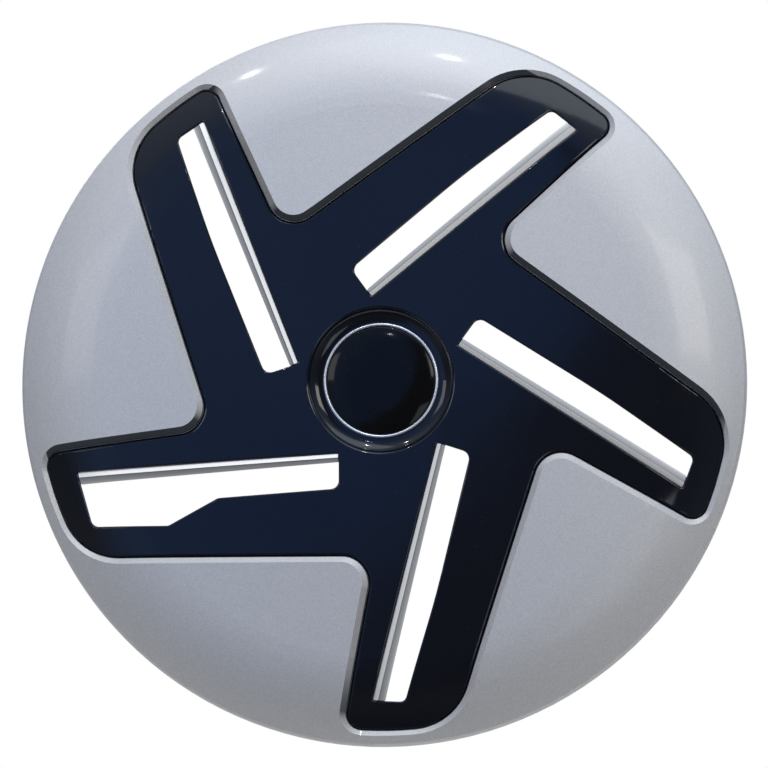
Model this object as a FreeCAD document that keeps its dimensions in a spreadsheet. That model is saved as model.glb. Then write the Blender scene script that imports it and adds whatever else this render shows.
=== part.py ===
import FreeCAD, Part
import Sketcher
import math
import os

V = FreeCAD.Vector
ARMS = 5
CLIPS = 10
FIRST_CLIP_ANGLE = 183.0
ARM_TURN = 360.0 / ARMS
CLIP_TURN = 360.0 / CLIPS

doc = FreeCAD.newDocument("wheel_cover")
sizes = doc.addObject("Spreadsheet::Sheet", "Sizes")

# Driving sizes in millimetres and degrees
SIZES = {
    # painted disc
    "cover_radius": 210.0,
    "rim_land": 3.0,
    "rim_lip": 3.0,
    "edge_radius": 4.0,
    "shoulder_radius": 100.0,
    "shoulder_width": 50.0,
    "crown_radius": 1500.0,
    "shell_thickness": 2.5,
    # star recess
    "rim_band": 8.9,
    "arm_long_side": 101.5,
    "arm_short_side": 14.9,
    "arm_flare": 7.13,
    "big_corner": 36.0,
    "small_corner": 9.4,
    "root_corner": 15.2,
    "recess_chamfer": 3.2,
    "recess_depth": 4.0,
    "tub_wall": 3.0,
    "floor_thickness": 2.0,
    # black insert
    "insert_thickness": 2.5,
    "insert_gap": 0.5,
    "insert_round": 1.9,
    "bowl_radius": 42.2,
    "bowl_taper": 8.2,
    "bowl_depth": 5.0,
    "bowl_curve": 10.0,
    "bowl_wall": 2.4,
    "bowl_round": 1.2,
    "bowl_clearance": 0.6,
    # slots, measured along the arm and across it
    "slot_end_margin": 24.6,
    "slot_end_lean": 5.1,
    "slot_inner": 24.2,
    "slot_upper_outer": 51.3,
    "slot_upper_inner": 42.0,
    "slot_lower_outer": 69.4,
    "slot_bend_place": 108.0,
    "slot_lower_bend": 68.2,
    "slot_lower_inner": 62.2,
    "slot_upper_corner": 1.2,
    "slot_inner_corner": 5.0,
    "slot_outer_corner": 4.0,
    "slot_bend_radius": 500.0,
    "slot_round": 0.9,
    "floor_relief": 0.8,
    # wider opening of the valve
    "valve_side": 82.9,
    "valve_inner": 123.2,
    "valve_ramp_end": 94.3,
    "valve_corner": 5.0,
    # blade strips
    "blade_gap": 0.35,
    "blade_corner": 0.6,
    "blade_width_outer": 6.8,
    "blade_width_inner": 4.7,
    "blade_ridge_outer": 2.9,
    "blade_ridge_inner": 2.1,
    "blade_ridge_rise": 0.5,
    "blade_upper_tilt": 28.0,
    "blade_lower_tilt": 24.0,
    "blade_overhang": 0.3,
    # centre badge
    "cap_clearance": 0.7,
    "cap_ring_width": 1.9,
    "cap_ring_height": 2.6,
    "cap_flange": 1.2,
    "cap_disc_rise": 3.5,
    "cap_crown_radius": 180.0,
    "cap_gap": 0.1,
    "cap_seat_width": 6.3,
    "cap_neck_wall": 1.8,
    "cap_neck_length": 7.0,
    "cap_snap": 0.7,
    "cap_leg_slit": 4.0,
    # screws
    "screw_low_place": 85.0,
    "screw_high_place": 138.0,
    "screw_shank_radius": 1.9,
    "screw_length": 5.0,
    "screw_head_radius": 5.2,
    "screw_head_height": 2.6,
    "screw_recess": 1.3,
    "boss_radius": 3.2,
    "boss_clearance": 0.2,
    "boss_step": 0.2,
    "pad_radius": 6.5,
    "pad_height": 2.0,
    # clips and wire ring
    "clip_plane": 5.0,
    "clip_boss_inset": 26.0,
    "clip_boss_length": 14.0,
    "clip_boss_width": 16.0,
    "clip_width": 13.0,
    "clip_base": 3.0,
    "clip_leg_inset": 18.0,
    "clip_leg": 3.6,
    "clip_reach": 17.0,
    "clip_hook": 3.4,
    "clip_hook_place": 8.0,
    "clip_peg_radius": 2.3,
    "clip_peg_length": 5.5,
    "clip_peg_offset": 3.6,
    "clip_clearance": 0.15,
    "wire_radius": 1.75,
    "wire_place": 5.0,
    # ribs on the back
    "rib_thickness": 1.8,
    "rib_inner": 118.0,
    "rib_plane": 7.0,
}

# Sizes that follow from the driving ones
DERIVED = {
    "shoulder_start": "cover_radius - shoulder_width",
    "shoulder_x": "shoulder_start * (1 - shoulder_radius / crown_radius)",
    "edge_x": "cover_radius - edge_radius",
    "edge_rise": "sqrt((shoulder_radius - edge_radius)^2 - (edge_x - shoulder_x)^2)",
    "shoulder_y": "edge_rise - rim_land",
    "crown_cosine": "sqrt(1 - (shoulder_start / crown_radius)^2)",
    "crown_y": "shoulder_y + (crown_radius - shoulder_radius) * crown_cosine",
    "crown_joint_y": "crown_y - crown_radius * crown_cosine",
    "apex_y": "crown_y - crown_radius",
    "joint_x": "shoulder_x + (edge_x - shoulder_x) * shoulder_radius / (shoulder_radius - edge_radius)",
    "joint_y": "shoulder_y - edge_rise * shoulder_radius / (shoulder_radius - edge_radius)",
    "lip_x": "cover_radius - rim_lip",
    "arm_end": "cover_radius - rim_band",
    "insert_seat": "recess_depth + insert_thickness",
    "floor_back": "insert_seat + floor_thickness",
    "front_reach": "5 - apex_y",
    "slot_outer": "arm_end - slot_end_margin",
    "slot_slope": "(slot_upper_outer - slot_upper_inner) / (slot_outer - slot_inner)",
    "bowl_top_y": "crown_y - sqrt(crown_radius^2 - bowl_radius^2) + recess_depth",
    "bowl_floor_y": "bowl_top_y + bowl_depth",
    "bowl_back_y": "bowl_floor_y + bowl_wall",
    "bowl_foot": "bowl_radius - bowl_taper",
    "cap_radius": "bowl_foot - cap_clearance",
    "cap_hole_radius": "cap_radius - cap_seat_width",
    "clip_leg_x": "cover_radius - clip_leg_inset",
    "clip_boss_x": "cover_radius - clip_boss_inset",
}

row = 1
for alias, number in SIZES.items():
    sizes.set(f"A{row}", alias)
    sizes.set(f"B{row}", str(number))
    sizes.setAlias(f"B{row}", alias)
    row += 1
doc.recompute()
for alias, formula in DERIVED.items():
    sizes.set(f"A{row}", alias)
    sizes.set(f"B{row}", "=" + formula)
    sizes.setAlias(f"B{row}", alias)
    row += 1
    doc.recompute()


def value(expression):
    result = sizes.evalExpression(expression)
    return float(getattr(result, "Value", result))


def size(alias):
    return f"Sizes.{alias}"


def dome(radius, shift):
    """Depth of the crown at a radius, moved back by a shift."""
    return f"Sizes.crown_y - sqrt(Sizes.crown_radius^2 - ({radius})^2) + ({shift})"


def shoulder(radius, shift):
    """Depth of the rounded shoulder at a radius, moved back by a shift."""
    inner = f"(({radius}) - Sizes.shoulder_x)"
    return f"Sizes.shoulder_y - sqrt(Sizes.shoulder_radius^2 - {inner}^2) + ({shift})"


# Sketch helpers

FRONT = FreeCAD.Rotation(V(1, 0, 0), 90)


def front_sketch(name, turn=0.0):
    """Sketch seen from the front: x to the right, y upward, turned about the wheel axis."""
    sketch = doc.addObject("Sketcher::SketchObject", name)
    spin = FreeCAD.Rotation(V(0, 1, 0), turn)
    sketch.Placement = FreeCAD.Placement(V(0, 0, 0), spin.multiply(FRONT))
    return sketch


def half_sketch(name):
    """Sketch of a half section: x is the radius, y the depth along the axis."""
    return doc.addObject("Sketcher::SketchObject", name)


def body_sketch(body, name, plane="XY_Plane"):
    sketch = body.newObject("Sketcher::SketchObject", name)
    for feature in body.Origin.OriginFeatures:
        if feature.Role == plane:
            sketch.AttachmentSupport = [(feature, "")]
    sketch.MapMode = "FlatFace"
    return sketch


def bind(sketch, constraints):
    """Adds constraints given as pairs of a constraint and its expression."""
    first = sketch.ConstraintCount
    sketch.addConstraint([pair[0] for pair in constraints])
    for index, pair in enumerate(constraints):
        if pair[1] is not None:
            sketch.setExpression(f"Constraints[{first + index}]", pair[1])


def arc_between(start, end, centre, turning_left):
    radius = (start - centre).Length
    first = math.atan2(start.y - centre.y, start.x - centre.x)
    last = math.atan2(end.y - centre.y, end.x - centre.x)
    if not turning_left:
        first, last = last, first
    if last < first:
        last += 2 * math.pi
    return Part.ArcOfCircle(Part.Circle(centre, V(0, 0, 1), radius), first, last)


def place_point(geometry, position, across, upward):
    """Constraints that hold a point at two expressions."""
    held = []
    for kind, axis, expression in (("DistanceX", -2, across), ("DistanceY", -1, upward)):
        number = value(expression)
        if abs(number) < 1e-9:
            held.append((Sketcher.Constraint("PointOnObject", geometry, position, axis), None))
        else:
            held.append((Sketcher.Constraint(kind, -1, 1, geometry, position, number), expression))
    return held


def profile(sketch, corners, arcs=None):
    """Closed outline through corners given as expressions; arcs maps a side to radius and turn."""
    arcs = arcs or {}
    points = [V(value(x), value(y), 0) for x, y in corners]
    count = len(points)
    ends = []
    for index in range(count):
        start = points[index]
        end = points[(index + 1) % count]
        if index in arcs:
            radius = value(arcs[index][0])
            left = arcs[index][1]
            chord = end - start
            rise = math.sqrt(max(radius ** 2 - (chord.Length / 2) ** 2, 0.0))
            normal = V(-chord.y, chord.x, 0).normalize()
            centre = (start + end) * 0.5 + normal * (rise if left else -rise)
            number = sketch.addGeometry(arc_between(start, end, centre, left))
            ends.append((number, 1 if left else 2, 2 if left else 1))
        else:
            number = sketch.addGeometry(Part.LineSegment(start, end))
            ends.append((number, 1, 2))
    held = []
    for index in range(count):
        here = ends[index]
        before = ends[index - 1]
        held.append((Sketcher.Constraint("Coincident", before[0], before[2], here[0], here[1]), None))
        held += place_point(here[0], here[1], corners[index][0], corners[index][1])
        if index in arcs:
            radius = Sketcher.Constraint("Radius", here[0], value(arcs[index][0]))
            held.append((radius, arcs[index][0]))
    bind(sketch, held)


def chain(sketch, pieces):
    """Joins pieces given as geometry and its two point numbers into a tangent closed loop."""
    held = []
    for index, here in enumerate(pieces):
        before = pieces[index - 1]
        held.append((Sketcher.Constraint("Tangent", before[0], before[2], here[0], here[1]), None))
    return held


def rounded(sketch, corners):
    """Closed outline with rounded corners, each given as across, upward and radius expressions."""
    count = len(corners)
    points = [V(value(c[0]), value(c[1]), 0) for c in corners]
    radii = [value(c[2]) for c in corners]
    starts = []
    stops = []
    centres = []
    turns = []
    for index in range(count):
        here = points[index]
        back = (points[index - 1] - here).normalize()
        ahead = (points[(index + 1) % count] - here).normalize()
        half = math.acos(max(-1.0, min(1.0, back.dot(ahead)))) / 2
        length = radii[index] / math.tan(half)
        starts.append(here + back * length)
        stops.append(here + ahead * length)
        centres.append(here + (back + ahead).normalize() * (radii[index] / math.sin(half)))
        turns.append((-back).cross(ahead).z > 0)
    pieces = []
    held = []
    for index in range(count):
        left = turns[index]
        arc = sketch.addGeometry(arc_between(starts[index], stops[index], centres[index], left))
        following = (index + 1) % count
        line = sketch.addGeometry(Part.LineSegment(stops[index], starts[following]))
        pieces.append((arc, 1 if left else 2, 2 if left else 1))
        pieces.append((line, 1, 2))
        held.append((Sketcher.Constraint("Radius", arc, radii[index]), corners[index][2]))
    lines = [pieces[2 * index + 1][0] for index in range(count)]
    for index in range(count):
        sharp = sketch.addGeometry(Part.Point(points[index]), True)
        held += place_point(sharp, 1, corners[index][0], corners[index][1])
        held.append((Sketcher.Constraint("PointOnObject", sharp, 1, lines[index]), None))
        held.append((Sketcher.Constraint("PointOnObject", sharp, 1, lines[index - 1]), None))
    bind(sketch, chain(sketch, pieces) + held)


def star(sketch, grow):
    """Pinwheel outline of the arms, grown outward by an expression."""
    long_side = f"Sizes.arm_long_side + ({grow})"
    short_side = f"Sizes.arm_short_side - ({grow})"
    end = f"Sizes.arm_end + ({grow})"
    big = f"Sizes.big_corner + ({grow})"
    small = f"Sizes.small_corner + ({grow})"
    root = f"Sizes.root_corner - ({grow})"
    far = value(end)
    flare = math.radians(value("Sizes.arm_flare"))
    turn = math.radians(ARM_TURN)
    along = V(math.cos(flare), math.sin(flare), 0)
    inward = V(math.sin(flare), -math.cos(flare), 0)
    outward = V(-math.sin(turn), -math.cos(turn), 0)
    r = value(big)
    d = value(long_side)
    big_centre = V(-math.sqrt((far - r) ** 2 - (d - r) ** 2), r - d, 0)
    on_long = V(big_centre.x, -d, 0)
    on_end_big = big_centre * (far / (far - r))
    r = value(small)
    b = value(short_side)
    small_centre = along * -math.sqrt((far - r) ** 2 - (b + r) ** 2) + inward * (b + r)
    on_end_small = small_centre * (far / (far - r))
    on_short = small_centre - inward * r
    r = value(root)
    det = inward.x * outward.y - inward.y * outward.x
    root_centre = V(((b - r) * outward.y - inward.y * (d + r)) / det,
                    (inward.x * (d + r) - (b - r) * outward.x) / det, 0)
    root_short = root_centre + inward * r
    root_long = root_centre - outward * r
    pieces = []
    held = []
    spins = [FreeCAD.Rotation(V(0, 0, 1), -ARM_TURN * number) for number in range(ARMS)]
    back = FreeCAD.Rotation(V(0, 0, 1), ARM_TURN)
    for number, spin in enumerate(spins):
        def at(point):
            return spin.multVec(point)
        first = at(back.multVec(root_long))
        line = sketch.addGeometry(Part.LineSegment(first, at(on_long)))
        pieces.append((line, 1, 2))
        angle = 180 - ARM_TURN * number
        held.append((Sketcher.Constraint("Angle", line, math.radians(angle)), None))
        held.append((Sketcher.Constraint("Distance", -1, 1, line, d), long_side))
        arc = sketch.addGeometry(arc_between(at(on_long), at(on_end_big), at(big_centre), False))
        pieces.append((arc, 2, 1))
        held.append((Sketcher.Constraint("Radius", arc, value(big)), big))
        arc = sketch.addGeometry(arc_between(at(on_end_big), at(on_end_small), V(0, 0, 0), False))
        pieces.append((arc, 2, 1))
        held.append((Sketcher.Constraint("Coincident", arc, 3, -1, 1), None))
        held.append((Sketcher.Constraint("Radius", arc, far), end))
        arc = sketch.addGeometry(arc_between(at(on_end_small), at(on_short), at(small_centre), False))
        pieces.append((arc, 2, 1))
        held.append((Sketcher.Constraint("Radius", arc, value(small)), small))
        line = sketch.addGeometry(Part.LineSegment(at(on_short), at(root_short)))
        pieces.append((line, 1, 2))
        angle = value("Sizes.arm_flare") - ARM_TURN * number
        angle_text = f"Sizes.arm_flare - {ARM_TURN * number}"
        held.append((Sketcher.Constraint("Angle", line, math.radians(angle)), angle_text))
        held.append((Sketcher.Constraint("Distance", -1, 1, line, b), short_side))
        arc = sketch.addGeometry(arc_between(at(root_short), at(root_long), at(root_centre), True))
        pieces.append((arc, 1, 2))
        held.append((Sketcher.Constraint("Radius", arc, value(root)), root))
    bind(sketch, chain(sketch, pieces) + held)


# Solid helpers


def revolved(name, sketch):
    solid = doc.addObject("Part::Revolution", name)
    solid.Source = sketch
    solid.Axis = V(0, 1, 0)
    solid.Base = V(0, 0, 0)
    solid.Angle = 360
    solid.Solid = True
    return solid


def extruded(name, sketch, forward, backward):
    """Solid drawn from a front sketch to the front and to the back."""
    solid = doc.addObject("Part::Extrusion", name)
    solid.Base = sketch
    solid.DirMode = "Normal"
    solid.Solid = True
    solid.setExpression("LengthFwd", forward)
    solid.setExpression("LengthRev", backward)
    return solid


def joined(name, shapes):
    solid = doc.addObject("Part::MultiFuse", name)
    solid.Shapes = shapes
    return solid


def common(name, shapes):
    solid = doc.addObject("Part::MultiCommon", name)
    solid.Shapes = shapes
    return solid


def cut(name, base, tool):
    solid = doc.addObject("Part::Cut", name)
    solid.Base = base
    solid.Tool = tool
    return solid


def copy_of(source, name, placement):
    twin = doc.addObject("Part::Feature", name)
    twin.Shape = source.Shape
    twin.Placement = placement.multiply(source.Placement)
    return twin


def turned(angle):
    return FreeCAD.Placement(V(0, 0, 0), FreeCAD.Rotation(V(0, 1, 0), angle))


def slab(name, front, back, reach):
    """Ring-shaped layer that follows the dome between two depths below the face."""
    sketch = half_sketch(name + "_section")
    corners = [
        ("0", dome("0", front)),
        (size("shoulder_start"), dome(size("shoulder_start"), front)),
        (reach, shoulder(reach, front)),
        (reach, shoulder(reach, back)),
        (size("shoulder_start"), dome(size("shoulder_start"), back)),
        ("0", dome("0", back)),
    ]
    arcs = {
        0: (size("crown_radius"), True),
        1: (size("shoulder_radius"), True),
        3: (size("shoulder_radius"), False),
        4: (size("crown_radius"), False),
    }
    profile(sketch, corners, arcs)
    return revolved(name, sketch)


# Painted disc

shell_sketch = half_sketch("shell_section")
profile(
    shell_sketch,
    [
        ("0", size("apex_y")),
        (size("shoulder_start"), size("crown_joint_y")),
        (size("joint_x"), size("joint_y")),
        (size("cover_radius"), "-Sizes.rim_land"),
        (size("cover_radius"), "0"),
        (size("lip_x"), "0"),
        (size("lip_x"), shoulder(size("lip_x"), size("shell_thickness"))),
        (size("shoulder_start"), "Sizes.crown_joint_y + Sizes.shell_thickness"),
        ("0", "Sizes.apex_y + Sizes.shell_thickness"),
    ],
    {
        0: (size("crown_radius"), True),
        1: (size("shoulder_radius"), True),
        2: (size("edge_radius"), True),
        6: (size("shoulder_radius"), False),
        7: (size("crown_radius"), False),
    },
)
shell = revolved("shell", shell_sketch)

tub_sketch = front_sketch("tub_outline")
star(tub_sketch, "Sizes.tub_wall")
tub_prism = extruded("tub_prism", tub_sketch, size("front_reach"), "5")
tub_reach = "Sizes.arm_end + Sizes.tub_wall + 0.5"
tub_slab = slab("tub_slab", "Sizes.shell_thickness / 2", size("floor_back"), tub_reach)
tub = common("tub", [tub_prism, tub_slab])

cavity_sketch = front_sketch("cavity_outline")
star(cavity_sketch, "0")
cavity_prism = extruded("cavity_prism", cavity_sketch, size("front_reach"), "5")
cavity_slab = slab("cavity_slab", "-10", size("insert_seat"), tub_reach)
cavity = common("cavity", [cavity_prism, cavity_slab])

back_sketch = half_sketch("back_section")
profile(
    back_sketch,
    [
        ("0", dome("0", "Sizes.shell_thickness / 2")),
        (size("shoulder_start"), dome(size("shoulder_start"), "Sizes.shell_thickness / 2")),
        (size("lip_x"), shoulder(size("lip_x"), "Sizes.shell_thickness / 2")),
        (size("lip_x"), "-1"),
        ("0", "-1"),
    ],
    {0: (size("crown_radius"), True), 1: (size("shoulder_radius"), True)},
)
back_blank = revolved("back_blank", back_sketch)


def turned_box(name, angle, inner, outer, width, depth):
    """Block on the back along a radius, ending at a depth in front of the seat plane."""
    block = doc.addObject("Part::Box", name)
    block.setExpression("Length", f"({outer}) - ({inner})")
    block.setExpression("Width", f"Sizes.front_reach - ({depth})")
    block.setExpression("Height", width)
    start = V(value(inner), -value("Sizes.front_reach"), -value(width) / 2)
    block.Placement = turned(angle).multiply(FreeCAD.Placement(start, FreeCAD.Rotation()))
    return block


clip_angles = [-(FIRST_CLIP_ANGLE + CLIP_TURN * number) for number in range(CLIPS)]
back_blocks = []
for number, angle in enumerate(clip_angles):
    boss_end = "Sizes.clip_boss_x + Sizes.clip_boss_length"
    boss = turned_box(f"clip_boss_{number + 1}", angle, size("clip_boss_x"), boss_end,
                      size("clip_boss_width"), size("clip_plane"))
    rib = turned_box(f"rib_{number + 1}", angle, size("rib_inner"), boss_end,
                     size("rib_thickness"), size("rib_plane"))
    back_blocks += [boss, rib]
back_solids = common("back_solids", [joined("back_blocks", back_blocks), back_blank])

# Screw places: midway between the slot and each side of the arm
low_x = size("screw_low_place")
low_slot = "(Sizes.slot_lower_bend + Sizes.slot_lower_inner) / 2"
low_z = f"({low_slot} + Sizes.arm_long_side) / 2"
high_x = size("screw_high_place")
high_edge = f"Sizes.arm_short_side / cos(Sizes.arm_flare) + {high_x} * tan(Sizes.arm_flare)"
high_slot = f"Sizes.slot_upper_outer - Sizes.slot_slope * (Sizes.slot_outer - {high_x})"
high_z = f"({high_edge} + {high_slot}) / 2"
screw_places = []
for across, upward in ((low_x, low_z), (high_x, high_z)):
    distance = f"sqrt(({across})^2 + ({upward})^2)"
    pad_y = dome(distance, "Sizes.floor_back + Sizes.pad_height")
    screw_places.append((across, upward, pad_y))


def post(name, place, turn, radius, front_y, back_y):
    """Round post along the axis between two depths at a screw place of one arm."""
    solid = doc.addObject("Part::Cylinder", name)
    solid.setExpression("Radius", radius)
    solid.setExpression("Height", f"({back_y}) - ({front_y})")
    centre = V(-value(place[0]), value(front_y), -value(place[1]))
    lying = FreeCAD.Placement(centre, FreeCAD.Rotation(V(1, 0, 0), -90))
    solid.Placement = turned(turn).multiply(lying)
    return solid


pads = []
pad_holes = []
insert_posts = []
for arm in range(ARMS):
    for which, place in enumerate(screw_places):
        tag = f"{arm + 1}_{which + 1}"
        turn = ARM_TURN * arm
        pad_y = place[2]
        floor_y = f"({pad_y}) - Sizes.pad_height - Sizes.floor_thickness / 2"
        seat_y = f"({pad_y}) - Sizes.pad_height - Sizes.floor_thickness - Sizes.insert_thickness / 2"
        pads.append(post(f"pad_{tag}", place, turn, size("pad_radius"), floor_y, pad_y))
        hole = "Sizes.boss_radius + Sizes.boss_clearance"
        through = f"({pad_y}) + 2"
        pad_holes.append(post(f"pad_hole_{tag}", place, turn, hole, seat_y, through))
        boss_y = f"({pad_y}) - Sizes.boss_step"
        insert_posts.append(post(f"insert_post_{tag}", place, turn, size("boss_radius"), seat_y, boss_y))


def slot_corners(relief, upper, valve):
    """Corners of a slot in its arm, grown by a relief, with its upper side moved by a distance."""
    outer = f"-(Sizes.slot_outer + ({relief}))"
    low_outer = f"-(Sizes.slot_outer - Sizes.slot_end_lean + ({relief}))"
    inner = f"-(Sizes.slot_inner - ({relief}))"
    corners = [
        (outer, f"-(Sizes.slot_upper_outer + ({upper[0]}))", size("slot_upper_corner")),
        (inner, f"-(Sizes.slot_upper_inner + ({upper[1]}))", size("slot_upper_corner")),
        (inner, f"-(Sizes.slot_lower_inner + ({relief}))", size("slot_inner_corner")),
    ]
    if valve:
        slope = "(Sizes.slot_lower_bend - Sizes.slot_lower_inner) / (Sizes.slot_bend_place - Sizes.slot_inner)"
        ramp = f"Sizes.slot_lower_inner + (Sizes.valve_ramp_end - Sizes.slot_inner) * {slope}"
        lean = "Sizes.slot_end_lean / (Sizes.slot_lower_outer - Sizes.slot_upper_outer)"
        drop = f"(Sizes.valve_side - Sizes.slot_upper_outer) * {lean}"
        corners += [
            ("-(Sizes.valve_ramp_end)", f"-({ramp} + ({relief}))", size("valve_corner")),
            ("-(Sizes.valve_inner)", f"-(Sizes.valve_side + ({relief}))", size("valve_corner")),
            (f"-(Sizes.slot_outer - {drop} + ({relief}))", f"-(Sizes.valve_side + ({relief}))",
             size("valve_corner")),
        ]
    else:
        corners += [
            ("-(Sizes.slot_bend_place)", f"-(Sizes.slot_lower_bend + ({relief}))", size("slot_bend_radius")),
            (low_outer, f"-(Sizes.slot_lower_outer + ({relief}))", size("slot_outer_corner")),
        ]
    return corners


insert_slots = []
floor_slots = []
ledge = "Sizes.blade_gap - Sizes.blade_overhang"
ledge_sides = (f"Sizes.blade_width_outer + {ledge}", f"Sizes.blade_width_inner + {ledge}")
for arm in range(ARMS):
    turn = ARM_TURN * arm
    sketch = front_sketch(f"insert_slot_outline_{arm + 1}", turn)
    rounded(sketch, slot_corners("0", ("0", "0"), arm == 0))
    insert_slots.append(extruded(f"insert_slot_{arm + 1}", sketch, size("front_reach"), "5"))
    sketch = front_sketch(f"floor_slot_outline_{arm + 1}", turn)
    rounded(sketch, slot_corners(size("floor_relief"), ledge_sides, arm == 0))
    floor_slots.append(extruded(f"floor_slot_{arm + 1}", sketch, size("front_reach"), "5"))

centre_hole = doc.addObject("Part::Cylinder", "centre_hole")
centre_hole.setExpression("Radius", "Sizes.bowl_radius + Sizes.bowl_wall + Sizes.bowl_clearance")
centre_hole.setExpression("Height", "Sizes.front_reach + 5")
centre_hole.Placement = FreeCAD.Placement(V(0, 5, 0), FreeCAD.Rotation(V(1, 0, 0), 90))

peg_holes = []
for number, angle in enumerate(clip_angles):
    hole = doc.addObject("Part::Cylinder", f"peg_hole_{number + 1}")
    hole.setExpression("Radius", "Sizes.clip_peg_radius + Sizes.clip_clearance")
    hole.setExpression("Height", "Sizes.clip_peg_length + 1")
    peg_x = value("Sizes.clip_boss_x + Sizes.clip_peg_offset")
    lying = FreeCAD.Placement(V(peg_x, -value("Sizes.clip_plane"), 0), FreeCAD.Rotation(V(1, 0, 0), 90))
    hole.Placement = turned(angle).multiply(lying)
    peg_holes.append(hole)

cover_blank = joined("cover_blank", [shell, tub, back_solids] + pads)
cover_cuts = joined("cover_cuts", [cavity, centre_hole] + floor_slots + pad_holes + peg_holes)
cover_raw = cut("cover_raw", cover_blank, cover_cuts)
doc.recompute()


def face_edges(shape, shift, skip_circles):
    """Edge numbers that lie on the dome surface moved back by a shift, without the rings of the dome."""
    crown = V(0, value("Sizes.crown_y") + shift, 0)
    ring = V(value("Sizes.shoulder_x"), value("Sizes.shoulder_y") + shift, 0)
    numbers = []
    for number, edge in enumerate(shape.Edges, 1):
        first, last = edge.ParameterRange
        on_face = True
        radii = []
        for step in range(5):
            point = edge.valueAt(first + (last - first) * step / 4)
            radius = math.hypot(point.x, point.z)
            radii.append(radius)
            if radius <= value("Sizes.shoulder_start"):
                gap = value("Sizes.crown_radius") - (crown - point).Length
            else:
                flat = V(radius, point.y, 0)
                gap = value("Sizes.shoulder_radius") - (ring - flat).Length
            if abs(gap) > 1e-3:
                on_face = False
        ringed = any(abs(min(radii) - r) < 1e-3 and abs(max(radii) - r) < 1e-3 for r in skip_circles)
        if on_face and not ringed:
            numbers.append(number)
    return numbers


rings = [value("Sizes.shoulder_start"), value("Sizes.joint_x")]
cover_disc = doc.addObject("Part::Chamfer", "cover_disc")
cover_disc.Base = cover_raw
bevel = value("Sizes.recess_chamfer")
cover_disc.Edges = [(number, bevel, bevel) for number in face_edges(cover_raw.Shape, 0.0, rings)]

# Black insert

insert_sketch = front_sketch("insert_outline")
star(insert_sketch, "-Sizes.insert_gap")
insert_prism = extruded("insert_prism", insert_sketch, size("front_reach"), "5")
insert_slab = slab("insert_slab", size("recess_depth"), size("insert_seat"), tub_reach)
insert_plate = common("insert_plate", [insert_prism, insert_slab])

bowl_sketch = half_sketch("bowl_section")
bowl_mid = "Sizes.recess_depth + Sizes.insert_thickness / 2"
bowl_outer = "Sizes.bowl_radius + Sizes.bowl_wall"
profile(
    bowl_sketch,
    [
        ("0", f"Sizes.apex_y + {bowl_mid}"),
        (bowl_outer, dome(bowl_outer, bowl_mid)),
        (bowl_outer, dome(bowl_outer, size("insert_seat"))),
        ("Sizes.bowl_foot + Sizes.bowl_wall", size("bowl_back_y")),
        ("0", size("bowl_back_y")),
    ],
    {0: (size("crown_radius"), True)},
)
bowl_block = revolved("bowl_block", bowl_sketch)

hollow_sketch = half_sketch("bowl_hollow_section")
profile(
    hollow_sketch,
    [
        ("0", "Sizes.apex_y - 5"),
        (size("bowl_radius"), "Sizes.apex_y - 5"),
        (size("bowl_radius"), size("bowl_top_y")),
        (size("bowl_foot"), size("bowl_floor_y")),
        (size("cap_hole_radius"), size("bowl_floor_y")),
        (size("cap_hole_radius"), "Sizes.bowl_back_y + 5"),
        ("0", "Sizes.bowl_back_y + 5"),
    ],
    {2: (size("bowl_curve"), True)},
)
bowl_hollow = revolved("bowl_hollow", hollow_sketch)
insert_blank = joined("insert_blank", [insert_plate, bowl_block] + insert_posts)

pilot_holes = []
for arm in range(ARMS):
    for which, place in enumerate(screw_places):
        pilot_y = f"({place[2]}) - Sizes.screw_length - 0.3"
        back_y = f"({place[2]}) + 1"
        pilot = post(f"pilot_{arm + 1}_{which + 1}", place, ARM_TURN * arm, size("screw_shank_radius"),
                     pilot_y, back_y)
        pilot_holes.append(pilot)
insert_cuts = joined("insert_cuts", [bowl_hollow] + insert_slots + pilot_holes)
insert_raw = cut("insert_raw", insert_blank, insert_cuts)
doc.recompute()

star_insert = doc.addObject("Part::Fillet", "star_insert")
star_insert.Base = insert_raw
insert_edges = []
for number in face_edges(insert_raw.Shape, value("Sizes.recess_depth"), rings):
    edge = insert_raw.Shape.Edges[number - 1]
    middle = edge.valueAt(sum(edge.ParameterRange) / 2)
    reach = math.hypot(middle.x, middle.z)
    on_outline = min(face.distToShape(Part.Vertex(middle))[0]
                     for face in insert_prism.Shape.Faces if abs(face.normalAt(0, 0).y) < 0.5) < 1e-3
    if on_outline:
        amount = value("Sizes.insert_round")
    elif reach < value("Sizes.bowl_radius") + 0.1:
        amount = value("Sizes.bowl_round")
    else:
        amount = value("Sizes.slot_round")
    insert_edges.append((number, amount, amount))
star_insert.Edges = insert_edges

# Blade strips

blade_plan = front_sketch("blade_outline")
gap = size("blade_gap")
blade_corner = size("blade_corner")
end_height = "(Sizes.slot_lower_outer - Sizes.slot_upper_outer)"
end_share = f"Sizes.slot_end_lean * Sizes.blade_width_outer / {end_height}"
rounded(blade_plan, [
    (f"-(Sizes.slot_outer - {gap})", f"-(Sizes.slot_upper_outer + {gap})", blade_corner),
    (f"-(Sizes.slot_inner + {gap})", f"-(Sizes.slot_upper_inner + {gap})", blade_corner),
    (f"-(Sizes.slot_inner + {gap})", f"-(Sizes.slot_upper_inner + {gap} + Sizes.blade_width_inner)", blade_corner),
    (f"-(Sizes.slot_outer - {gap} - {end_share})",
     f"-(Sizes.slot_upper_outer + {gap} + Sizes.blade_width_outer)", blade_corner),
])
blade_prism = extruded("blade_prism", blade_plan, size("front_reach"), "5")
blade_sections = []
stations = [-0.03, 0.1, 0.25, 0.4, 0.6, 0.8, 1.03]
section_turn = FreeCAD.Rotation(V(0, 0, 1), V(0, 1, 0), V(-1, 0, 0), "XYZ")
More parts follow.
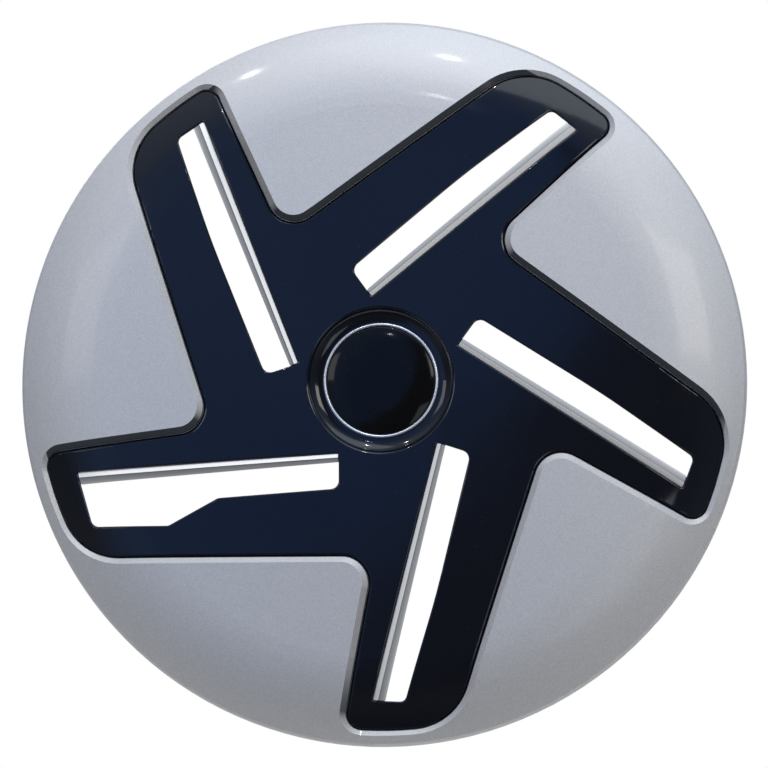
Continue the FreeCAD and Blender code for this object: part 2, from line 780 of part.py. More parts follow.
for number, share in enumerate(stations):
    sketch = doc.addObject("Sketcher::SketchObject", f"blade_section_{number + 1}")
    along = f"(Sizes.slot_outer - {share} * (Sizes.slot_outer - Sizes.slot_inner))"
    sketch.Placement = FreeCAD.Placement(V(-value(along), 0, 0), section_turn)
    sketch.setExpression("Placement.Base.x", f"-{along}")
    rise = f"{share} * (Sizes.slot_upper_outer - Sizes.slot_upper_inner)"
    offset = f"Sizes.blade_ridge_outer - {share} * (Sizes.blade_ridge_outer - Sizes.blade_ridge_inner)"
    ridge = f"-(Sizes.slot_upper_outer - {rise} + {gap} + {offset})"
    reach = f"sqrt({along}^2 + ({ridge})^2)"
    level = "Sizes.recess_depth - Sizes.blade_ridge_rise"
    if value(reach) <= value("Sizes.shoulder_start"):
        top = dome(reach, level)
    else:
        top = shoulder(reach, level)
    deep = f"{top} + Sizes.floor_back"
    profile(sketch, [
        (f"{ridge} + 6", f"{top} + 6 * tan(Sizes.blade_upper_tilt)"),
        (ridge, top),
        (f"{ridge} - 8", f"{top} + 8 * tan(Sizes.blade_lower_tilt)"),
        (f"{ridge} - 8", deep),
        (f"{ridge} + 6", deep),
    ])
    blade_sections.append(sketch)
blade_roof = doc.addObject("Part::Loft", "blade_roof")
blade_roof.Sections = blade_sections
blade_roof.Solid = True
blade_roof.Ruled = False
floor_blank = slab("floor_blank", size("insert_seat"), "Sizes.insert_seat + 20", tub_reach)
blade_bar = common("blade_bar", [blade_roof, blade_prism])
first_blade = cut("blade_trim_1", blade_bar, floor_blank)
doc.recompute()
blades = [first_blade]
for arm in range(1, ARMS):
    blades.append(copy_of(first_blade, f"blade_trim_{arm + 1}", turned(ARM_TURN * arm)))

# Centre badge: carrier, chrome ring and bare disc


def turned_body(name, corners, arcs=None):
    body = doc.addObject("PartDesign::Body", name)
    sketch = body_sketch(body, name + "_section")
    profile(sketch, corners, arcs)
    doc.recompute()
    solid = body.newObject("PartDesign::Revolution", name + "_turned")
    solid.Profile = sketch
    solid.ReferenceAxis = (sketch, ["V_Axis"])
    solid.Angle = 360
    doc.recompute()
    return body


seat = size("bowl_floor_y")
neck = "Sizes.cap_hole_radius - Sizes.cap_gap"
bore = f"{neck} - Sizes.cap_neck_wall"
flange_out = "Sizes.cap_radius - Sizes.cap_ring_width - Sizes.cap_gap"
back_face = "Sizes.bowl_back_y + Sizes.cap_gap"
neck_end = "Sizes.bowl_floor_y + Sizes.cap_neck_length"
centre_cap = turned_body("centre_cap", [
    ("0", f"{seat} - Sizes.cap_flange"),
    (flange_out, f"{seat} - Sizes.cap_flange"),
    (flange_out, seat),
    (neck, seat),
    (neck, back_face),
    (f"{neck} + Sizes.cap_snap", f"{back_face} + Sizes.cap_snap"),
    (f"{neck} - Sizes.cap_snap", neck_end),
    (bore, neck_end),
    (bore, f"{seat} + Sizes.cap_flange"),
    ("0", f"{seat} + Sizes.cap_flange"),
])
slit_sketch = body_sketch(centre_cap, "leg_slit_outline", "XZ_Plane")
slit_out = "Sizes.cap_hole_radius + 3"
half_slit = "Sizes.cap_leg_slit / 2"
slit_sketch.AttachmentOffset = FreeCAD.Placement(V(0, 0, -value(neck_end) - 1), FreeCAD.Rotation())
slit_sketch.setExpression("AttachmentOffset.Base.z", f"-({neck_end}) - 1")
profile(slit_sketch, [
    (f"{bore} - 2", f"-{half_slit}"),
    (slit_out, f"-{half_slit}"),
    (slit_out, half_slit),
    (f"{bore} - 2", half_slit),
])
doc.recompute()
slit = centre_cap.newObject("PartDesign::Pocket", "leg_slit")
slit.Profile = slit_sketch
slit.Type = 0
slit.Reversed = True
slit.setExpression("Length", "Sizes.cap_neck_length - Sizes.cap_flange - Sizes.cap_gap")
doc.recompute()
slits = centre_cap.newObject("PartDesign::PolarPattern", "leg_slits")
slits.Originals = [slit]
slits.Axis = (slit_sketch, ["N_Axis"])
slits.Angle = 360
slits.Occurrences = 6
centre_cap.Tip = slits
doc.recompute()

ring_in = "Sizes.cap_radius - Sizes.cap_ring_width"
ring_side = "Sizes.cap_ring_height - Sizes.cap_ring_width / 2"
cap_ring = turned_body("cap_ring", [
    (ring_in, seat),
    (ring_in, f"{seat} - ({ring_side})"),
    (size("cap_radius"), f"{seat} - ({ring_side})"),
    (size("cap_radius"), seat),
], {1: ("Sizes.cap_ring_width / 2 + 0.001", True)})

disc_seat = f"{seat} - Sizes.cap_flange"
disc_out = flange_out
disc_top = f"{disc_seat} - Sizes.cap_disc_rise"
disc_edge = f"{disc_top} + Sizes.cap_crown_radius - sqrt(Sizes.cap_crown_radius^2 - ({disc_out})^2)"
cap_disc = turned_body("cap_disc", [
    ("0", disc_top),
    (disc_out, disc_edge),
    (disc_out, disc_seat),
    ("0", disc_seat),
], {0: (size("cap_crown_radius"), True)})

# Wire ring and clips

ring_body = doc.addObject("PartDesign::Body", "tension_ring")
wire_sketch = body_sketch(ring_body, "wire_section")
wire_round = wire_sketch.addGeometry(Part.Circle(V(value("Sizes.clip_leg_x"), value("Sizes.wire_place"), 0),
                                                 V(0, 0, 1), value("Sizes.wire_radius")))
wire_held = place_point(wire_round, 3, size("clip_leg_x"), size("wire_place"))
wire_held.append((Sketcher.Constraint("Radius", wire_round, value("Sizes.wire_radius")), size("wire_radius")))
bind(wire_sketch, wire_held)
doc.recompute()
wire = ring_body.newObject("PartDesign::Revolution", "wire_turned")
wire.Profile = wire_sketch
wire.ReferenceAxis = (wire_sketch, ["V_Axis"])
wire.Angle = 360
doc.recompute()

clip = doc.addObject("PartDesign::Body", "retaining_clip")
clip_sketch = body_sketch(clip, "clip_section")
base_in = size("clip_boss_x")
base_out = "Sizes.clip_boss_x + Sizes.clip_boss_length"
base_low = "-Sizes.clip_plane"
base_top = "Sizes.clip_base - Sizes.clip_plane"
leg_in = size("clip_leg_x")
leg_out = "Sizes.clip_leg_x + Sizes.clip_leg"
hook_out = f"{leg_out} + Sizes.clip_hook"
hook = size("clip_hook_place")
notch = "Sizes.wire_radius"
profile(clip_sketch, [
    (base_in, base_low),
    (base_out, base_low),
    (base_out, base_top),
    (leg_out, base_top),
    (leg_out, hook),
    (hook_out, f"{hook} + Sizes.clip_hook / 2"),
    (hook_out, f"{hook} + Sizes.clip_hook"),
    (f"{leg_out} - 1", size("clip_reach")),
    (leg_in, size("clip_reach")),
    (leg_in, f"Sizes.wire_place + {notch}"),
    (leg_in, f"Sizes.wire_place - {notch}"),
    (leg_in, base_top),
    (base_in, base_top),
], {9: (f"{notch} + 0.001", False)})
doc.recompute()
clip_pad = clip.newObject("PartDesign::Pad", "clip_pad")
clip_pad.Profile = clip_sketch
clip_pad.SideType = "Symmetric"
clip_pad.setExpression("Length", size("clip_width"))
doc.recompute()
peg_sketch = body_sketch(clip, "peg_section", "XZ_Plane")
peg_sketch.AttachmentOffset = FreeCAD.Placement(V(0, 0, value("Sizes.clip_plane")), FreeCAD.Rotation())
peg_sketch.setExpression("AttachmentOffset.Base.z", size("clip_plane"))
peg_place = "Sizes.clip_boss_x + Sizes.clip_peg_offset"
peg_round = peg_sketch.addGeometry(Part.Circle(V(value(peg_place), 0, 0), V(0, 0, 1),
                                               value("Sizes.clip_peg_radius")))
peg_held = place_point(peg_round, 3, peg_place, "0")
peg_held.append((Sketcher.Constraint("Radius", peg_round, value("Sizes.clip_peg_radius")),
                 size("clip_peg_radius")))
bind(peg_sketch, peg_held)
doc.recompute()
peg = clip.newObject("PartDesign::Pad", "clip_peg")
peg.Profile = peg_sketch
peg.setExpression("Length", size("clip_peg_length"))
clip.Tip = peg
doc.recompute()
clips = []
for number, angle in enumerate(clip_angles):
    clips.append(copy_of(clip, f"retaining_clip_{number + 1:02d}", turned(angle)))

# Screws, one group

head_top = size("screw_head_height")
screw = turned_body("screw", [
    ("0", "-Sizes.screw_length"),
    ("Sizes.screw_shank_radius * 0.6", "-Sizes.screw_length"),
    (size("screw_shank_radius"), "-Sizes.screw_length + Sizes.screw_shank_radius"),
    (size("screw_shank_radius"), "0"),
    (size("screw_head_radius"), "0"),
    (size("screw_head_radius"), "Sizes.screw_head_height * 0.4"),
    ("Sizes.screw_head_radius * 0.7", head_top),
    ("0", head_top),
])
recess_sketch = body_sketch(screw, "screw_recess_outline", "XZ_Plane")
recess_sketch.AttachmentOffset = FreeCAD.Placement(V(0, 0, -value(head_top)), FreeCAD.Rotation())
recess_sketch.setExpression("AttachmentOffset.Base.z", f"-{head_top}")
arm_long = "Sizes.screw_head_radius * 0.5"
arm_half = "Sizes.screw_head_radius * 0.11"
cross = []
for sign_x, sign_y in ((1, 1), (-1, 1), (-1, -1), (1, -1)):
    inner = (f"{sign_x} * {arm_half}", f"{sign_y} * {arm_half}")
    tip_side = (f"{sign_x} * {arm_long}", f"{sign_y} * {arm_half}")
    tip_top = (f"{sign_x} * {arm_half}", f"{sign_y} * {arm_long}")
    if sign_x * sign_y > 0:
        cross += [tip_side, inner, tip_top]
    else:
        cross += [tip_top, inner, tip_side]
profile(recess_sketch, cross)
doc.recompute()
recess = screw.newObject("PartDesign::Pocket", "screw_recess")
recess.Profile = recess_sketch
recess.Type = 0
recess.Reversed = True
recess.setExpression("Length", size("screw_recess"))
screw.Tip = recess
doc.recompute()
screws = []
for arm in range(ARMS):
    for place in screw_places:
        spot = FreeCAD.Placement(V(-value(place[0]), value(place[2]), -value(place[1])), FreeCAD.Rotation())
        screws.append(copy_of(screw, f"screw_{len(screws) + 1}", turned(ARM_TURN * arm).multiply(spot)))
insert_screws = doc.addObject("Part::Compound", "insert_screws")
insert_screws.Links = screws
doc.recompute()

# Every object is sound before anything is written

for item in doc.Objects:
    if "Invalid" in item.State or "Error" in item.State:
        raise RuntimeError(f"{item.Label} did not build: {item.State}")

os.makedirs("parts", exist_ok=True)
badge = [centre_cap, cap_ring, cap_disc]
nodes = [cover_disc, star_insert] + blades + badge + [ring_body, insert_screws] + clips
for node in nodes:
    if node.Shape.isNull() or not node.Shape.isValid():
        raise RuntimeError(f"{node.Label} has no sound shape")
    node.Shape.exportStep(f"parts/{node.Label}.step")
    print(node.Label, len(node.Shape.Solids), round(node.Shape.Volume, 1))
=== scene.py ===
import math

import bmesh
import bpy
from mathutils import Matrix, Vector


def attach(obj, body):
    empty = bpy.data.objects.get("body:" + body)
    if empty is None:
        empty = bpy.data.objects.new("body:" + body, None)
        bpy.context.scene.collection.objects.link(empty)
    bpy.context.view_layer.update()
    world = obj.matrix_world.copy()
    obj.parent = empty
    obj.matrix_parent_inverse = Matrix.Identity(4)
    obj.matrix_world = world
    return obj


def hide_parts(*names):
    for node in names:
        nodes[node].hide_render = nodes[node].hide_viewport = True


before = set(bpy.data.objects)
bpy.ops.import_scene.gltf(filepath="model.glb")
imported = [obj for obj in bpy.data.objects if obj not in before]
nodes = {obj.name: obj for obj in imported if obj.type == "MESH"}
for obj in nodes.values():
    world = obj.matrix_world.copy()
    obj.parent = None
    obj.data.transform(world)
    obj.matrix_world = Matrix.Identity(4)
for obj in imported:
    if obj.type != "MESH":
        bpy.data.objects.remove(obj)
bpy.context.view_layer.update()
scene = bpy.context.scene
scene.view_settings.view_transform = "Standard"

ARM_TURN = 72.0
# Bare moulding of the cover, as it shows behind the paint
BARE_DARK = "#5b5e62"
BARE_LIGHT = "#6d7074"
# Ridge of the first strip, seen from the front: height at the axis and slope along the arm
OUTER_X, OUTER_Z = -0.1765, -0.05455
INNER_X, INNER_Z = -0.0242, -0.04445
RIDGE_SLOPE = (INNER_Z - OUTER_Z) / (INNER_X - OUTER_X)
RIDGE_START = INNER_Z - RIDGE_SLOPE * INNER_X


def rgb(code):
    """Linear colour of an sRGB hex code."""
    parts = [int(code[i:i + 2], 16) / 255 for i in (1, 3, 5)]
    line = [c / 12.92 if c <= 0.04045 else ((c + 0.055) / 1.055) ** 2.4 for c in parts]
    return (*line, 1.0)


class Graph:
    """Small helper that adds a shader node with its settings and links."""

    def __init__(self, tree):
        self.tree = tree
        tree.nodes.clear()

    def add(self, kind, settings=None, **inputs):
        node = self.tree.nodes.new(kind)
        for name, setting in (settings or {}).items():
            setattr(node, name, setting)
        for name, given in inputs.items():
            # A name such as i6 means the seventh socket, any other name the socket's own
            by_number = name[0] == "i" and name[1:].isdigit()
            socket = node.inputs[int(name[1:])] if by_number else node.inputs[name.replace("_", " ")]
            if isinstance(given, bpy.types.NodeSocket):
                self.tree.links.new(given, socket)
            else:
                socket.default_value = given
        return node

    def ramp(self, factor, stops):
        node = self.add("ShaderNodeValToRGB", Fac=factor)
        marks = node.color_ramp.elements
        while len(marks) < len(stops):
            marks.new(0.5)
        for mark, (place, colour) in zip(marks, stops):
            mark.position = place
            mark.color = colour
        return node.outputs["Color"]

    def math(self, operation, first, second=0.0, clamp=False):
        node = self.add("ShaderNodeMath", {"operation": operation, "use_clamp": clamp}, i0=first, i1=second)
        return node.outputs["Value"]

    def mix(self, factor, first, second):
        node = self.add("ShaderNodeMix", {"data_type": "RGBA"}, i0=factor, i6=first, i7=second)
        return node.outputs[2]

    def noise(self, vector, scale, detail=2.0, rough=0.5):
        node = self.add("ShaderNodeTexNoise", Vector=vector, Scale=scale, Detail=detail, Roughness=rough)
        return node.outputs["Fac"]

    def place(self, scale=(1, 1, 1), turn=0.0):
        """Object coordinates, turned about the wheel axis and stretched."""
        where = self.add("ShaderNodeTexCoord").outputs["Object"]
        spun = self.add("ShaderNodeMapping", Vector=where, Rotation=(0.0, turn, 0.0))
        return self.add("ShaderNodeMapping", Vector=spun.outputs["Vector"], Scale=scale).outputs["Vector"]

    def bump(self, height, strength, distance):
        node = self.add("ShaderNodeBump", Height=height, Strength=strength, Distance=distance)
        return node.outputs["Normal"]

    def surface(self, **inputs):
        shader = self.add("ShaderNodeBsdfPrincipled", **inputs)
        self.add("ShaderNodeOutputMaterial", Surface=shader.outputs["BSDF"])
        return shader


def material(name):
    made = bpy.data.materials.new(name)
    made.use_nodes = True
    return made, Graph(made.node_tree)


def silver_paint():
    """Metallic silver base coat under clear lacquer on the front, unpainted moulded grey plastic behind, and
    painted shade in the star recess.
    """
    made, g = material("silver_metallic_lacquer")
    where = g.place()
    flake = g.add("ShaderNodeTexVoronoi", Vector=where, Scale=2600.0)
    grain = g.add("ShaderNodeSeparateColor", Color=flake.outputs["Color"]).outputs["Red"]
    cloud = g.noise(where, 9.0, 3.0)
    paint = g.mix(grain, rgb("#c1c0c0"), rgb("#d9d8d7"))
    paint = g.mix(g.math("MULTIPLY", cloud, 0.25), paint, rgb("#c7c8ca"))
    normal = g.add("ShaderNodeNewGeometry").outputs["Normal"]
    facing = g.add("ShaderNodeSeparateXYZ", Vector=normal).outputs["Y"]
    mist = g.math("MULTIPLY", g.noise(where, 60.0, 4.0), 0.3)
    behind = g.add("ShaderNodeMapRange", Value=g.math("ADD", facing, mist), i1=0.12, i2=0.32).outputs["Result"]
    plastic = g.mix(g.noise(where, 24.0, 3.0), rgb(BARE_DARK), rgb(BARE_LIGHT))
    # Painted shade in the star recess: its steep walls and its inward-turned, downward-facing lips are darkened
    # to a dark grey and lose their metal and coat, standing in for the shadow there
    across = (1.0, 0.0, 1.0)
    spread = g.add("ShaderNodeVectorMath", {"operation": "MULTIPLY"}, i0=where, i1=across).outputs["Vector"]
    reach = g.add("ShaderNodeVectorMath", {"operation": "LENGTH"}, i0=spread).outputs["Value"]
    outward = g.add("ShaderNodeVectorMath", {"operation": "NORMALIZE"}, i0=spread).outputs["Vector"]
    lean = g.add("ShaderNodeVectorMath", {"operation": "MULTIPLY"}, i0=normal, i1=across).outputs["Vector"]
    along = g.add("ShaderNodeVectorMath", {"operation": "DOT_PRODUCT"}, i0=lean, i1=outward).outputs["Value"]
    tilt = g.add("ShaderNodeVectorMath", {"operation": "LENGTH"}, i0=lean).outputs["Value"]
    domed = g.math("MAXIMUM", along, 0.0)
    square = g.math("SUBTRACT", g.math("MULTIPLY", tilt, tilt), g.math("MULTIPLY", domed, domed))
    turned_in = g.math("SQRT", square)
    lip = g.add("ShaderNodeMapRange", Value=turned_in, i1=0.28, i2=0.55).outputs["Result"]
    height = g.add("ShaderNodeSeparateXYZ", Vector=normal).outputs["Z"]
    under = g.add("ShaderNodeMapRange", Value=height, i1=-0.1, i2=-0.42).outputs["Result"]
    inside = g.math("LESS_THAN", reach, 0.199)
    upright = g.add("ShaderNodeMapRange", Value=g.math("ABSOLUTE", facing), i1=0.62, i2=0.25).outputs["Result"]
    recess_shade = g.math("MULTIPLY", g.math("MAXIMUM", upright, g.math("MULTIPLY", lip, under)), inside)
    # Mask of the unpainted back together with the painted recess shade
    bare_or_recess_shade = g.math("MAXIMUM", behind, recess_shade)
    colour = g.mix(behind, paint, plastic)
    # Painted shade colour laid on the recess walls and lips
    colour = g.mix(recess_shade, colour, rgb("#33383f"))
    metal = g.math("MULTIPLY", g.math("SUBTRACT", 1.0, bare_or_recess_shade), 0.75)
    rough = g.math("ADD", g.math("MULTIPLY", bare_or_recess_shade, 0.12), g.math("ADD", 0.58, g.math("MULTIPLY", grain, 0.10)))
    coat = g.math("MULTIPLY", g.math("SUBTRACT", 1.0, bare_or_recess_shade), 0.3)
    shape = g.bump(flake.outputs["Distance"], 0.06, 0.0003)
    g.surface(Base_Color=colour, Metallic=metal, Roughness=rough, Normal=shape, Coat_Weight=coat,
              Coat_Roughness=0.1)
    return made


def piano_black(name, tint, shine):
    """Gloss black moulding with faint polishing haze and a little settled dust."""
    made, g = material(name)
    where = g.place()
    haze = g.noise(where, 35.0, 5.0, 0.6)
    dust = g.math("GREATER_THAN", g.noise(where, 1400.0, 1.0), 0.74)
    colour = g.mix(g.math("MULTIPLY", dust, 0.35), rgb(tint), rgb("#3b3d40"))
    rough = g.math("ADD", 0.05, g.math("MULTIPLY", haze, 0.07))
    shape = g.bump(g.noise(where, 120.0, 2.0), 0.02, 0.0004)
    g.surface(Base_Color=colour, Roughness=rough, Normal=shape, Specular_IOR_Level=shine)
    return made


def satin_strip(number, turn):
    """Satin silver strip with fine grain along its length, and painted shade below its ridge."""
    made, g = material(f"satin_silver_strip_{number}")
    along = g.place((12.0, 2200.0, 2200.0), turn)
    grain = g.noise(along, 1.0, 4.0, 0.6)
    # Painted shade along the ridge: a thin dark line just below it and a darker lower face that lightens further
    # down, the face above left light
    spot = g.add("ShaderNodeSeparateXYZ", Vector=g.place(turn=turn))
    ridge = g.math("ADD", RIDGE_START, g.math("MULTIPLY", spot.outputs["X"], RIDGE_SLOPE))
    below = g.math("SUBTRACT", ridge, spot.outputs["Z"])
    painted_ridge_shade = g.ramp(g.add("ShaderNodeMapRange", Value=below, i1=-0.0005, i2=0.0045).outputs["Result"],
                   [(0.10, rgb("#ffffff")), (0.14, rgb("#6a6c6f")), (0.24, rgb("#a2a4a7")), (0.6, rgb("#babcbe")),
                    (1.0, rgb("#eeeeee"))])
    colour = g.mix(grain, rgb("#dcdcdd"), rgb("#f0f0f0"))
    shaded = {"data_type": "RGBA", "blend_type": "MULTIPLY"}
    colour = g.add("ShaderNodeMix", shaded, i0=1.0, i6=colour, i7=painted_ridge_shade).outputs[2]
    rough = g.math("ADD", 0.36, g.math("MULTIPLY", grain, 0.16))
    shape = g.bump(grain, 0.12, 0.0002)
    g.surface(Base_Color=colour, Metallic=0.3, Roughness=rough, Normal=shape)
    return made


def plated(name, light, dark, low, high, scale):
    """Plated or drawn metal with soft handling marks."""
    made, g = material(name)
    where = g.place()
    marks = g.noise(where, scale, 4.0, 0.6)
    colour = g.mix(marks, rgb(light), rgb(dark))
    rough = g.math("ADD", low, g.math("MULTIPLY", marks, high - low))
    g.surface(Base_Color=colour, Metallic=1.0, Roughness=rough, Normal=g.bump(marks, 0.03, 0.0003))
    return made


def moulded(name, light, dark, rough):
    """Plain moulded plastic with a fine spark-eroded grain."""
    made, g = material(name)
    where = g.place()
    grain = g.noise(where, 900.0, 2.0)
    cloud = g.noise(where, 40.0, 3.0)
    colour = g.mix(cloud, rgb(light), rgb(dark))
    level = g.math("ADD", rough, g.math("MULTIPLY", grain, 0.12))
    g.surface(Base_Color=colour, Roughness=level, Normal=g.bump(grain, 0.15, 0.0002))
    return made


silver = silver_paint()
insert_black = piano_black("piano_black_moulding", "#090d18", 0.42)
disc_black = piano_black("gloss_black_badge_disc", "#08090b", 0.2)
carrier_black = moulded("black_moulded_carrier", "#17181a", "#202124", 0.42)
chrome = plated("satin_chrome_plate", "#e6e6e7", "#d8d9db", 0.30, 0.42, 60.0)
nylon = moulded("dark_nylon_moulding", "#26282b", "#323438", 0.46)
spring = plated("drawn_spring_wire", "#8b8c8e", "#5c5c5e", 0.28, 0.45, 300.0)
zinc = plated("zinc_plated_screw", "#b3b5b6", "#8d8e8a", 0.3, 0.5, 200.0)
strips = [satin_strip(number, math.radians(-ARM_TURN * (number - 1))) for number in range(1, 6)]

dress = {
    "cover_disc": silver,
    "star_insert": insert_black,
    "centre_cap": carrier_black,
    "cap_ring": chrome,
    "cap_disc": disc_black,
    "tension_ring": spring,
    "insert_screws": zinc,
}
for number in range(1, 6):
    dress[f"blade_trim_{number}"] = strips[number - 1]
for name in nodes:
    if name.startswith("retaining_clip"):
        dress[name] = nylon
for name, node in nodes.items():
    node.data.materials.clear()
    node.data.materials.append(dress[name])


def badge_lens(name, solid, finish):
    """Clean lens with a flat middle and a rolled edge, in the place of the badge disc's solid."""
    box = [solid.matrix_world @ Vector(corner) for corner in solid.bound_box]
    radius = max(corner.x for corner in box)
    front = min(corner.y for corner in box)
    back = max(corner.y for corner in box)
    rings, sectors = 36, 144
    edge = 0.0008
    drop = back - front - edge
    shape = bmesh.new()
    pole = shape.verts.new((0.0, front, 0.0))
    rows = []
    stops = [(radius * (ring + 1) / rings, front + drop * ((ring + 1) / rings) ** 4) for ring in range(rings)]
    for reach, level in stops + [(radius, back)]:
        turns = [2 * math.pi * step / sectors for step in range(sectors)]
        rows.append([shape.verts.new((reach * math.cos(t), level, reach * math.sin(t))) for t in turns])
    for step in range(sectors):
        after = (step + 1) % sectors
        shape.faces.new((pole, rows[0][step], rows[0][after])).smooth = True
        for row, (inner, outer_row) in enumerate(zip(rows, rows[1:])):
            face = shape.faces.new((inner[step], outer_row[step], outer_row[after], inner[after]))
            face.smooth = row < rings - 1
    shape.faces.new(rows[-1])
    bmesh.ops.recalc_face_normals(shape, faces=shape.faces)
    mesh = bpy.data.meshes.new(name)
    shape.to_mesh(mesh)
    shape.free()
    mesh.materials.append(finish)
    lens = bpy.data.objects.new(name, mesh)
    scene.collection.objects.link(lens)
    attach(lens, "root")
    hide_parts("cap_disc")


badge_lens("badge_lens", nodes["cap_disc"], disc_black)


def ejector_tree():
    """Node tree that sets a ring of round pin marks down on the back of the cover."""
    tree = bpy.data.node_groups.new("ejector_pin_marks", "GeometryNodeTree")
    kinds = {
        "Cover": "NodeSocketObject",
        "Marks": "NodeSocketInt",
        "Ring radius": "NodeSocketFloat",
        "First turn": "NodeSocketFloat",
        "Mark radius": "NodeSocketFloat",
        "Mark height": "NodeSocketFloat",
        "Finish": "NodeSocketMaterial",
    }
    sockets = {}
    for label, kind in kinds.items():
        sockets[label] = tree.interface.new_socket(label, in_out="INPUT", socket_type=kind).identifier
    tree.interface.new_socket("Marks made", in_out="OUTPUT", socket_type="NodeSocketGeometry")
    start = tree.nodes.new("NodeGroupInput")
    end = tree.nodes.new("NodeGroupOutput")

    def link(source, target):
        tree.links.new(source, target)

    cover = tree.nodes.new("GeometryNodeObjectInfo")
    cover.transform_space = "RELATIVE"
    link(start.outputs["Cover"], cover.inputs["Object"])
    circle = tree.nodes.new("GeometryNodeMeshCircle")
    link(start.outputs["Marks"], circle.inputs["Vertices"])
    link(start.outputs["Ring radius"], circle.inputs["Radius"])
    spin = tree.nodes.new("ShaderNodeCombineXYZ")
    spin.inputs["X"].default_value = math.pi / 2
    link(start.outputs["First turn"], spin.inputs["Y"])
    stand = tree.nodes.new("GeometryNodeTransform")
    stand.inputs["Translation"].default_value = (0.0, 0.05, 0.0)
    link(circle.outputs["Mesh"], stand.inputs["Geometry"])
    link(spin.outputs["Vector"], stand.inputs["Rotation"])
    probe = tree.nodes.new("GeometryNodeRaycast")
    probe.inputs["Ray Direction"].default_value = (0.0, -1.0, 0.0)
    probe.inputs["Ray Length"].default_value = 0.2
    link(cover.outputs["Geometry"], probe.inputs["Target Geometry"])
    seat = tree.nodes.new("GeometryNodeSetPosition")
    link(stand.outputs["Geometry"], seat.inputs["Geometry"])
    link(probe.outputs["Hit Position"], seat.inputs["Position"])
    face = tree.nodes.new("FunctionNodeAlignRotationToVector")
    face.axis = "Z"
    face.inputs["Vector"].default_value = (0.0, 1.0, 0.0)
    pin = tree.nodes.new("GeometryNodeMeshCylinder")
    pin.inputs["Vertices"].default_value = 40
    link(start.outputs["Mark radius"], pin.inputs["Radius"])
    link(start.outputs["Mark height"], pin.inputs["Depth"])
    spread = tree.nodes.new("GeometryNodeInstanceOnPoints")
    link(seat.outputs["Geometry"], spread.inputs["Points"])
    link(pin.outputs["Mesh"], spread.inputs["Instance"])
    link(face.outputs["Rotation"], spread.inputs["Rotation"])
    real = tree.nodes.new("GeometryNodeRealizeInstances")
    link(spread.outputs["Instances"], real.inputs["Geometry"])
    paint = tree.nodes.new("GeometryNodeSetMaterial")
    link(real.outputs["Geometry"], paint.inputs["Geometry"])
    link(start.outputs["Finish"], paint.inputs["Material"])
    link(paint.outputs["Geometry"], end.inputs["Marks made"])
    return tree, sockets


marks_tree, marks_sockets = ejector_tree()


def ejector_marks(name, finish, ring_radius, first_turn):
    """Marks of the mould's ejector pins, one ring of five."""
    given = {
        "Cover": nodes["cover_disc"],
        "Marks": 5,
        "Ring radius": ring_radius,
        "First turn": first_turn,
        "Mark radius": 0.0042,
        "Mark height": 0.0012,
        "Finish": finish,
    }
    piece = bpy.data.objects.new(name, bpy.data.meshes.new(name + "_seed"))
    scene.collection.objects.link(piece)
    maker = piece.modifiers.new("ejector_pins", "NODES")
    maker.node_group = marks_tree
    for label, setting in given.items():
        maker[marks_sockets[label]] = setting
    graph = bpy.context.evaluated_depsgraph_get()
    mesh = bpy.data.meshes.new_from_object(piece.evaluated_get(graph))
    piece.modifiers.clear()
    mesh.name = name
    piece.data = mesh
    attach(piece, "root")


bare_plastic = moulded("bare_grey_moulding", BARE_DARK, BARE_LIGHT, 0.5)
ejector_marks("ejector_marks_outer", bare_plastic, 0.158, math.radians(-92.0))
ejector_marks("ejector_marks_inner", bare_plastic, 0.128, math.radians(-84.0))

# Studio


def card(name, size, at, aim):
    """Flat rectangle of the studio that faces a point."""
    mesh = bpy.data.meshes.new(name)
    w, h = size[0] / 2, size[1] / 2
    mesh.from_pydata([(-w, -h, 0), (w, -h, 0), (w, h, 0), (-w, h, 0)], [], [(0, 1, 2, 3)])
    made = bpy.data.objects.new(name, mesh)
    scene.collection.objects.link(made)
    made.location = at
    made.rotation_euler = (Vector(aim) - Vector(at)).to_track_quat("Z", "Y").to_euler()
    return made


floor = card("studio_floor", (8.0, 8.0), (0, 3.7, -1.0), (0, 3.7, 1))
floor_paint, g = material("pale_floor_paint")
tone = g.noise(g.place(), 3.0, 3.0)
g.surface(Base_Color=g.mix(tone, rgb("#e4e4e1"), rgb("#dcdcd9")), Roughness=0.6)
floor.data.materials.append(floor_paint)

world = bpy.data.worlds.new("studio_white")
world.use_nodes = True
scene.world = world
g = Graph(world.node_tree)
path = g.add("ShaderNodeLightPath")
seen = g.math("MAXIMUM", path.outputs["Is Camera Ray"], path.outputs["Is Transmission Ray"])
glossy = path.outputs["Is Glossy Ray"]
way_out = g.add("ShaderNodeTexCoord").outputs["Generated"]
way = g.add("ShaderNodeSeparateXYZ", Vector=way_out)
side, depth, up = (way.outputs[axis] for axis in "XYZ")
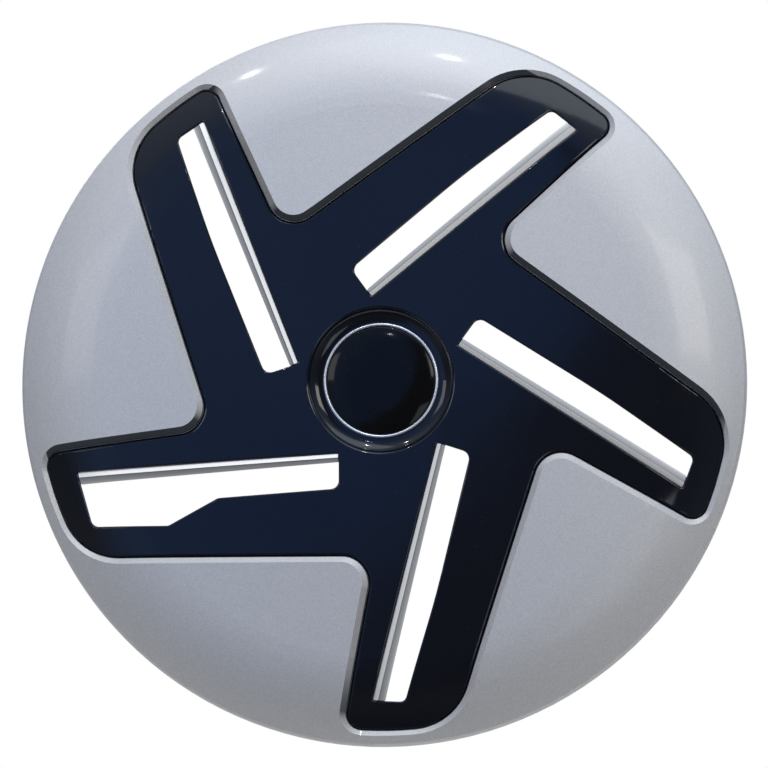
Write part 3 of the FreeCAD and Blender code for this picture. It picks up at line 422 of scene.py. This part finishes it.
# Room in front of the object, seen by glossy rays: blue upper left and dark lower right round the
# axis, paler further up. Camera rays see plain white.
lean = g.math("SUBTRACT", g.math("MULTIPLY", up, 0.45), g.math("MULTIPLY", side, 0.85))
blotch = g.math("SUBTRACT", g.noise(way_out, 3.2, 2.0), 0.5)
lean = g.math("ADD", lean, g.math("SUBTRACT", g.math("MULTIPLY", blotch, 0.45), 0.05))
middle = g.ramp(g.add("ShaderNodeMapRange", Value=lean, i1=-0.3, i2=0.3).outputs["Result"],
                [(0.0, rgb("#55514d")), (0.38, rgb("#595a5f")), (0.56, rgb("#7096dc")), (1.0, rgb("#8cb0ee"))])
outer = g.ramp(g.add("ShaderNodeMapRange", Value=up, i1=-1.0, i2=1.0).outputs["Result"],
               [(0.0, rgb("#403f3e")), (0.12, rgb("#5a5a5c")), (0.27, rgb("#8a8d92")), (0.42, rgb("#6d7074")),
                (0.5, rgb("#6b7079")), (0.75, rgb("#a4b6d6")), (0.88, rgb("#d2dcec")), (1.0, rgb("#cad8ee"))])
room = g.mix(g.add("ShaderNodeMapRange", Value=depth, i1=-0.88, i2=-0.62).outputs["Result"], middle, outer)
behind = g.add("ShaderNodeMapRange", Value=depth, i1=0.7, i2=0.95).outputs["Result"]
mirrored = g.mix(behind, room, (1, 1, 1, 1))
soft = g.ramp(g.add("ShaderNodeMapRange", Value=up, i1=-1.0, i2=1.0).outputs["Result"],
              [(0.0, (0.12, 0.12, 0.12, 1)), (1.0, (0.70, 0.71, 0.74, 1))])
shade = g.mix(glossy, soft, mirrored)
shade = g.mix(seen, shade, (1, 1, 1, 1))
back = g.add("ShaderNodeBackground", Color=shade, Strength=1.0)
g.add("ShaderNodeOutputWorld", Surface=back.outputs["Background"])


def lamp(name, size, power, at, aim=(0, 0, 0), tint=(1, 1, 1)):
    """Soft rectangular lamp that the camera doesn't see."""
    data = bpy.data.lights.new(name, "AREA")
    data.shape = "RECTANGLE"
    data.size = size[0]
    data.size_y = size[1]
    data.energy = power
    data.color = tint
    made = bpy.data.objects.new(name, data)
    scene.collection.objects.link(made)
    made.location = at
    made.rotation_euler = (Vector(aim) - Vector(at)).to_track_quat("-Z", "Y").to_euler()
    made.visible_camera = False


WARM = (1.0, 0.97, 0.92)
COOL = (0.84, 0.92, 1.0)
lamp("overhead_softbox", (3.0, 1.9), 30.0, (0.8, -1.2, 2.7), tint=COOL)
lamp("left_softbox", (1.2, 0.9), 9.0, (-2.05, -2.43, 0.72), tint=WARM)
lamp("right_softbox", (1.2, 0.9), 18.0, (1.95, -2.5, 0.85), tint=WARM)
lamp("key_lamp", (0.06, 0.06), 8.0, (0.28, -1.6, 2.52), tint=WARM)
lamp("rim_lamp", (0.06, 0.06), 7.0, (-1.14, -1.33, 2.43), tint=WARM)
lamp("fill_softbox", (1.0, 1.0), 5.0, (1.3, -2.6, -1.0), tint=COOL)
lamp("badge_lamp", (0.05, 0.05), 1.2, (0.05, -2.58, 1.49))
lamp("back_softbox", (1.6, 1.6), 22.0, (-1.5, 2.3, 1.9))

# Camera at the photograph's angle: a little right of the axis and a little below it
AZIMUTH = 4.0
ELEVATION = -4.5
DISTANCE = 5.0
HALF_FRAME = 0.2221
turn = math.radians(AZIMUTH)
tilt = math.radians(ELEVATION)
aim = Vector((0.0, 0.0, 0.0))
level = math.cos(tilt)
eye = aim + DISTANCE * Vector((math.sin(turn) * level, -math.cos(turn) * level, math.sin(tilt)))
camera_data = bpy.data.cameras.new("photo_camera")
camera_data.sensor_width = 36.0
camera_data.lens = 18.0 * DISTANCE / HALF_FRAME
camera_data.clip_end = 50.0
camera = bpy.data.objects.new("photo_camera", camera_data)
scene.collection.objects.link(camera)
camera.location = eye
camera.rotation_euler = (aim - eye).to_track_quat("-Z", "Y").to_euler()
scene.camera = camera
